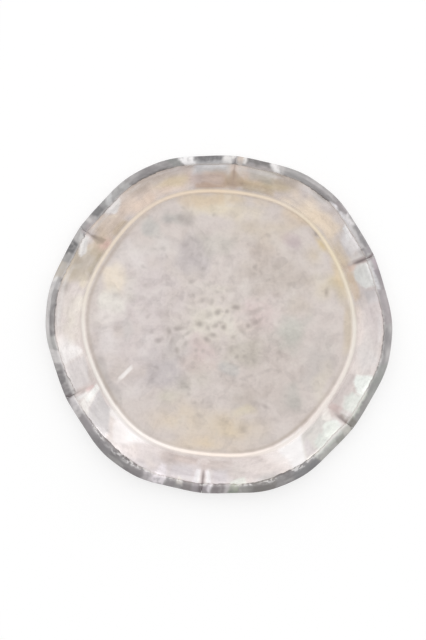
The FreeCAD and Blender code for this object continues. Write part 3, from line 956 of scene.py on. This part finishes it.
class Nodes:
    """A material's or world's node tree, with a short call for each node it uses."""

    def __init__(self, owner):
        owner.use_nodes = True
        self.tree = owner.node_tree
        self.tree.nodes.clear()

    def node(self, kind, **settings):
        made = self.tree.nodes.new(kind)
        for name, value in settings.items():
            setattr(made, name, value)
        return made

    def put(self, socket, value):
        if isinstance(value, bpy.types.NodeSocket):
            self.tree.links.new(value, socket)
        else:
            socket.default_value = value

    def calculate(self, operation, a, b, clamp):
        made = self.node("ShaderNodeMath", operation=operation, use_clamp=clamp)
        self.put(made.inputs[0], a)
        self.put(made.inputs[1], b)
        return made.outputs[0]

    def times(self, a, b, clamp=False):
        return self.calculate("MULTIPLY", a, b, clamp)

    def plus(self, a, b, clamp=False):
        return self.calculate("ADD", a, b, clamp)

    def minus(self, a, b, clamp=False):
        return self.calculate("SUBTRACT", a, b, clamp)

    def mix(self, factor, a, b, blend="MIX"):
        made = self.node("ShaderNodeMix", data_type="RGBA", blend_type=blend, clamp_factor=True)
        self.put(made.inputs[0], factor)
        self.put(made.inputs[6], a)
        self.put(made.inputs[7], b)
        return made.outputs[2]

    def mark(self, name):
        return self.node("ShaderNodeAttribute", attribute_name=name).outputs["Fac"]

    def place(self):
        return self.node("ShaderNodeTexCoord").outputs["Object"]

    def noise(self, size, detail, rough=0.55, shift=(0.0, 0.0, 0.0), warp=0.0):
        """Noise whose bumps are about that size in metres."""
        mapping = self.node("ShaderNodeMapping")
        self.put(mapping.inputs["Vector"], self.place())
        mapping.inputs["Location"].default_value = shift
        made = self.node("ShaderNodeTexNoise")
        self.put(made.inputs["Vector"], mapping.outputs[0])
        made.inputs["Scale"].default_value = 1.0 / size
        made.inputs["Detail"].default_value = detail
        made.inputs["Roughness"].default_value = rough
        made.inputs["Distortion"].default_value = warp
        return made.outputs["Fac"]

    def streaks(self, along, across, detail=3.0, rough=0.55, shift=0.0):
        """Noise drawn out round the plate; its bumps are that long and wide in millimetres."""
        point = self.node("ShaderNodeCombineXYZ")
        self.put(point.inputs[0], self.times(self.mark("along"), 1.0 / along))
        self.put(point.inputs[1], self.times(self.mark("across"), 1.0 / across))
        point.inputs[2].default_value = shift
        made = self.node("ShaderNodeTexNoise")
        self.put(made.inputs["Vector"], point.outputs[0])
        made.inputs["Scale"].default_value = 1.0
        made.inputs["Detail"].default_value = detail
        made.inputs["Roughness"].default_value = rough
        return made.outputs["Fac"]

    def remap(self, value, low, high, to_low=0.0, to_high=1.0):
        made = self.node("ShaderNodeMapRange", interpolation_type="SMOOTHSTEP", clamp=True)
        for socket, item in zip(made.inputs, (value, low, high, to_low, to_high)):
            self.put(socket, item)
        return made.outputs[0]

    def zone(self, centre, reach, wobble):
        """One in the middle of a soft patch, zero past its reach; millimetres, with an uneven edge."""
        offset = self.node("ShaderNodeVectorMath", operation="SUBTRACT")
        self.put(offset.inputs[0], self.place())
        offset.inputs[1].default_value = (centre[0] * MM, centre[1] * MM, 0.0)
        scaled = self.node("ShaderNodeVectorMath", operation="MULTIPLY")
        self.put(scaled.inputs[0], offset.outputs[0])
        scaled.inputs[1].default_value = (1.0 / (reach[0] * MM), 1.0 / (reach[1] * MM), 0.0)
        length = self.node("ShaderNodeVectorMath", operation="LENGTH")
        self.put(length.inputs[0], scaled.outputs[0])
        uneven = self.times(self.minus(self.noise(12.0 * MM, 3.0, 0.6), 0.5), 2.0 * wobble)
        return self.remap(self.plus(length.outputs["Value"], uneven), 1.0, 0.2)


def principled(n, tone, rough, bump_height, distance, metallic):
    shader = n.node("ShaderNodeBsdfPrincipled")
    n.put(shader.inputs["Base Color"], tone)
    n.put(shader.inputs["Roughness"], rough)
    n.put(shader.inputs["Metallic"], metallic)
    bump = n.node("ShaderNodeBump")
    bump.inputs["Strength"].default_value = 1.0
    bump.inputs["Distance"].default_value = distance
    n.put(bump.inputs["Height"], bump_height)
    n.put(shader.inputs["Normal"], bump.outputs[0])
    out = n.node("ShaderNodeOutputMaterial")
    n.put(out.inputs["Surface"], shader.outputs[0])


# ---- Materials ----------------------------------------------------------------------------


def plated_sheet():
    """Worn silver plate: a cloudy grey well, a smoother brighter flange and warm tarnish, with painted
    highlights and shade on the flange and the bead.
    """
    material = bpy.data.materials.new("worn_silver_plate")
    n = Nodes(material)
    tint = n.node("ShaderNodeAttribute", attribute_name="tint").outputs["Color"]
    flange = n.mark("flange")
    cloud = n.noise(11 * MM, 4.0, 0.6, warp=0.5)
    tone = n.mix(n.remap(cloud, 0.5, 0.76, 0.0, 0.42), tint, (0.7, 0.68, 0.67, 1.0), "MULTIPLY")
    tone = n.mix(n.remap(cloud, 0.5, 0.26, 0.0, 0.24), tone, colour(250, 244, 236))
    blotch = n.noise(7.5 * MM, 1.0, 0.4, shift=(0.7, 0.4, 0.0), warp=0.3)
    blotch = n.times(n.remap(blotch, 0.56, 0.62, 0.0, 0.12), n.remap(flange, 0.0, 1.0, 1.0, 0.4))
    tone = n.mix(blotch, tone, (0.5, 0.49, 0.49, 1.0), "MULTIPLY")
    mottle = n.noise(4.8 * MM, 3.0, 0.55, shift=(0.3, 0.1, 0.0), warp=0.25)
    used = n.zone((-2, 0), (60, 60), wobble=0.3)
    strength = n.remap(used, 0.0, 1.0, 0.1, 0.26)
    strength = n.times(strength, n.remap(flange, 0.0, 1.0, 1.0, 0.3))
    tone = n.mix(n.times(n.remap(mottle, 0.5, 0.74), strength), tone, (0.5, 0.48, 0.47, 1.0), "MULTIPLY")
    tone = n.mix(n.times(n.remap(mottle, 0.5, 0.28), strength), tone, colour(255, 248, 242))
    drawn = n.streaks(9.0, 2.6)
    streak = n.times(n.remap(drawn, 0.42, 0.72, 0.0, 0.34), flange)
    tone = n.mix(streak, tone, (0.7, 0.68, 0.7, 1.0), "MULTIPLY")
    # Painted highlight: a pale streaky strip along the flange's outer edge, next to the border.
    edge = n.times(n.mark("edge"), n.remap(n.streaks(16.0, 6.0, shift=9.0), 0.42, 0.62))
    tone = n.mix(n.times(edge, 0.35), tone, colour(250, 246, 246))
    grain = n.remap(n.noise(1.5 * MM, 2.0, 0.5), 0.4, 0.7)
    tone = n.mix(n.times(grain, 0.1), tone, (0.55, 0.53, 0.52, 1.0), "MULTIPLY")
    for mark, share, laid in (
        ("halo", 0.45, colour(255, 247, 234)),
        ("dark", 0.54, colour(150, 139, 134)),
        # Painted shade in lines inside and outside the bead.
        ("shade", 0.34, colour(176, 158, 136)),
        ("fold", 0.2, colour(220, 196, 190)),
        # Painted highlight on the flanks beside the creases.
        ("ridge_and_highlight", 0.6, colour(252, 252, 250)),
        ("crease", 0.65, colour(114, 102, 102)),
        ("calm", 0.8, tint),
        # The bead's line, rubbed metal with a painted highlight.
        ("wear_and_highlight", 0.8, tint),
    ):
        tone = n.mix(n.times(n.mark(mark), share), tone, laid)
    tone = n.mix(n.mark("bright"), tone, colour(255, 249, 246))
    rough = n.plus(n.remap(cloud, 0.3, 0.7, 0.44, 0.56), n.times(flange, -0.3))
    rough = n.minus(rough, n.times(n.mark("wear_and_highlight"), 0.05))
    coarse = n.noise(2.2 * MM, 4.0, 0.6)
    fine = n.plus(coarse, n.times(n.noise(0.5 * MM, 2.0), 0.3))
    # Less metallic along the bead's line, so that its painted highlight stays pale.
    metallic = n.minus(n.remap(flange, 0.0, 1.0, 0.8, 0.95), n.times(n.mark("wear_and_highlight"), 0.4))
    metallic = n.minus(metallic, n.times(n.mark("bright"), 0.8), clamp=True)
    principled(n, tone, rough, fine, 0.04 * MM, metallic)
    return material


def border_metal():
    """Soft grey alloy: rougher and with painted shade in mid-lobe, and painted highlights and shade in
    blotches beside the creases.
    """
    material = bpy.data.materials.new("grey_border_alloy")
    n = Nodes(material)
    mottle = n.streaks(5.0, 2.0, 3.0, 0.5)
    patch = n.streaks(11.0, 5.0, 2.0, 0.5, shift=2.0)
    tone = n.mix(n.remap(patch, 0.36, 0.64), colour(170, 166, 167), colour(200, 197, 196))
    # Painted shade in mid-lobe and on the border's inner shoulder; below none, a painted highlight. It also
    # makes the border rougher.
    tone = n.mix(n.times(n.mark("dull_and_shade"), -0.9, clamp=True), tone, colour(236, 233, 232))
    dull_and_shade = n.times(n.mark("dull_and_shade"), n.remap(patch, 0.3, 0.7, 1.0, 0.6), clamp=True)
    tone = n.mix(dull_and_shade, tone, colour(136, 132, 133))
    tone = n.mix(n.times(n.mark("scale"), 0.45), tone, (0.45, 0.44, 0.44, 1.0), "MULTIPLY")
    tone = n.mix(n.remap(mottle, 0.46, 0.74, 0.0, 0.3), tone, colour(110, 106, 107))
    tone = n.mix(n.remap(mottle, 0.48, 0.26, 0.0, 0.3), tone, colour(220, 218, 216))
    block = n.node("ShaderNodeAttribute", attribute_name="tint")
    wear_and_painted_light = n.remap(n.streaks(1.8, 3.0, 2.0, 0.5, shift=5.0), 0.3, 0.55, 0.6, 1.0)
    # Painted highlights and shade: the border's blocks, broken up by streaky noise.
    tone = n.mix(n.times(block.outputs["Alpha"], wear_and_painted_light), tone, block.outputs["Color"])
    # Painted highlights: bright jagged marks along the border's inner edge, strongest at the bottom of the
    # picture.
    highlight_teeth = n.remap(n.streaks(2.2, 1.4, 2.0, 0.6, shift=7.0), 0.46, 0.56)
    highlight_teeth = n.times(highlight_teeth, n.remap(n.streaks(14.0, 9.0, 1.0, shift=8.0), 0.4, 0.55))
    lip = n.mark("lip")
    crumbs = n.remap(n.streaks(1.3, 0.9, 2.0, 0.5, shift=11.0), 0.46, 0.58)
    crumbs = n.times(crumbs, n.remap(n.mark("low"), 0.0, 1.0, 0.1, 0.15))
    tone = n.mix(n.times(lip, crumbs), tone, colour(96, 92, 92))
    highlight_teeth = n.times(highlight_teeth, n.times(lip, n.remap(n.mark("low"), 0.0, 1.0, 0.2, 0.6)))
    tone = n.mix(highlight_teeth, tone, colour(250, 248, 247))
    # Painted light: the border's lip is lightened within the blocks to cover the shade it casts, least at
    # the bottom of the picture.
    soft = n.times(block.outputs["Alpha"], n.remap(n.mark("low"), 0.0, 1.0, 0.8, 0.1))
    tone = n.mix(n.times(lip, soft), tone, colour(240, 236, 234))
    rough = n.plus(n.remap(mottle, 0.3, 0.7, 0.52, 0.44), n.times(dull_and_shade, 0.1))
    principled(n, tone, rough, n.noise(1.2 * MM, 3.0, 0.55), 0.04 * MM, 0.6)
    return material


def pale_floor():
    """A white floor that keeps the plate's soft shadow, and shows white to the camera and in metal."""
    material = bpy.data.materials.new("pale_floor")
    n = Nodes(material)
    diffuse = n.node("ShaderNodeBsdfDiffuse")
    diffuse.inputs["Color"].default_value = (0.4, 0.4, 0.4, 1.0)
    glow = n.node("ShaderNodeEmission")
    rays = n.node("ShaderNodeLightPath")
    seen = n.plus(rays.outputs["Is Camera Ray"], rays.outputs["Is Glossy Ray"])
    seen = n.plus(seen, rays.outputs["Is Transmission Ray"], clamp=True)
    n.put(glow.inputs["Strength"], n.times(seen, 0.65))
    both = n.node("ShaderNodeAddShader")
    n.put(both.inputs[0], diffuse.outputs[0])
    n.put(both.inputs[1], glow.outputs[0])
    out = n.node("ShaderNodeOutputMaterial")
    n.put(out.inputs["Surface"], both.outputs[0])
    return material


# ---- The plate ----------------------------------------------------------------------------

silver, alloy = plated_sheet(), border_metal()
dish = dish_mesh(silver)
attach(dish, "root")
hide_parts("dish")
for lobe, node in enumerate(border_nodes):
    length = border_mesh(lobe, f"border_metal_{lobe + 1}", alloy)
    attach(length, "root")
    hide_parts(node)

# ---- Floor, light and camera --------------------------------------------------------------

floor_reach = 3.0  # metres
floor_corners = [(floor_reach * x, floor_reach * y, 0.0) for x, y in ((-1, -1), (1, -1), (1, 1), (-1, 1))]
floor_mesh = bpy.data.meshes.new("floor")
floor_mesh.from_pydata(floor_corners, [], [(0, 1, 2, 3)])
floor = bpy.data.objects.new("floor", floor_mesh)
floor_mesh.materials.append(pale_floor())
bpy.context.scene.collection.objects.link(floor)

roll = 5.6  # degrees that the plate is turned clockwise in the picture
right = Vector((math.cos(math.radians(roll)), math.sin(math.radians(roll)), 0.0))
ahead = Vector((-right.y, right.x, 0.0))


def toward(turn, elevation):
    """The direction at that turn in the picture, anticlockwise from its right, and elevation."""
    turn, elevation = math.radians(turn), math.radians(elevation)
    flat = right * math.cos(turn) + ahead * math.sin(turn)
    return flat * math.cos(elevation) + Vector((0, 0, math.sin(elevation)))


def soft_lamp(name, direction, distance, size, power):
    data = bpy.data.lights.new(name, "AREA")
    data.shape, data.size, data.energy = "DISK", size, power
    lamp = bpy.data.objects.new(name, data)
    lamp.location = direction * distance
    lamp.rotation_euler = (-direction).to_track_quat("-Z", "Y").to_euler()
    bpy.context.scene.collection.objects.link(lamp)


soft_lamp("lamp_upper_right", toward(48, 36), 1.1, 0.18, 0.1)
soft_lamp("lamp_upper_left", toward(118, 36), 1.1, 0.15, 0.062)


def studio():
    """A pale room: white to the camera, softly brighter above and from the top of the picture."""
    world = bpy.data.worlds.new("studio")
    n = Nodes(world)
    rays = n.node("ShaderNodeLightPath")
    way = n.node("ShaderNodeTexCoord").outputs["Generated"]

    def facing(direction):
        made = n.node("ShaderNodeVectorMath", operation="DOT_PRODUCT")
        n.put(made.inputs[0], way)
        made.inputs[1].default_value = direction
        return made.outputs["Value"]

    in_metal = n.remap(facing(toward(78, 0)), -0.75, 0.4, 0.608, 0.88)
    height = facing((0, 0, 1))
    walls = n.times(n.remap(height, 0.15, 0.42), n.remap(height, 0.82, 0.52))
    in_metal = n.plus(in_metal, n.times(walls, 0.296))
    on_matt = n.remap(facing(toward(85, 40)), 0.1, 1.0, 0.392, 1.472)
    level = n.plus(rays.outputs["Is Camera Ray"], rays.outputs["Is Transmission Ray"])
    level = n.plus(level, n.times(rays.outputs["Is Glossy Ray"], in_metal))
    level = n.plus(level, n.times(rays.outputs["Is Diffuse Ray"], on_matt))
    back = n.node("ShaderNodeBackground")
    back.inputs["Color"].default_value = (1.0, 1.0, 1.0, 1.0)
    n.put(back.inputs["Strength"], level)
    out = n.node("ShaderNodeOutputWorld")
    n.put(out.inputs["Surface"], back.outputs[0])
    return world


bpy.context.scene.world = studio()

# The camera looks almost straight down, from a little towards the top of the picture.
framed = 294.76  # how much of the plane of the rim the picture takes in, top to bottom, in millimetres
aside, above = -2.76, 2.07  # from the plate's middle to the picture's, in millimetres
tilt, distance = 3.5, 900.0  # degrees off straight down, and millimetres from the plate
lens = bpy.data.cameras.new("camera")
lens.sensor_fit = "VERTICAL"
lens.sensor_height = 36.0
lens.lens = lens.sensor_height * (distance - rim_height) / framed
camera = bpy.data.objects.new("camera", lens)
bpy.context.scene.collection.objects.link(camera)
view_from = toward(90, 90 - tilt)
place = (right * aside + ahead * above + view_from * distance) * MM
up = (ahead - ahead.dot(view_from) * view_from).normalized()
across_view = up.cross(view_from).normalized()
camera.matrix_world = Matrix((
    (across_view.x, up.x, view_from.x, place.x),
    (across_view.y, up.y, view_from.y, place.y),
    (across_view.z, up.z, view_from.z, place.z),
    (0, 0, 0, 1),
))
bpy.context.scene.camera = camera
bpy.context.scene.view_settings.view_transform = "Standard"
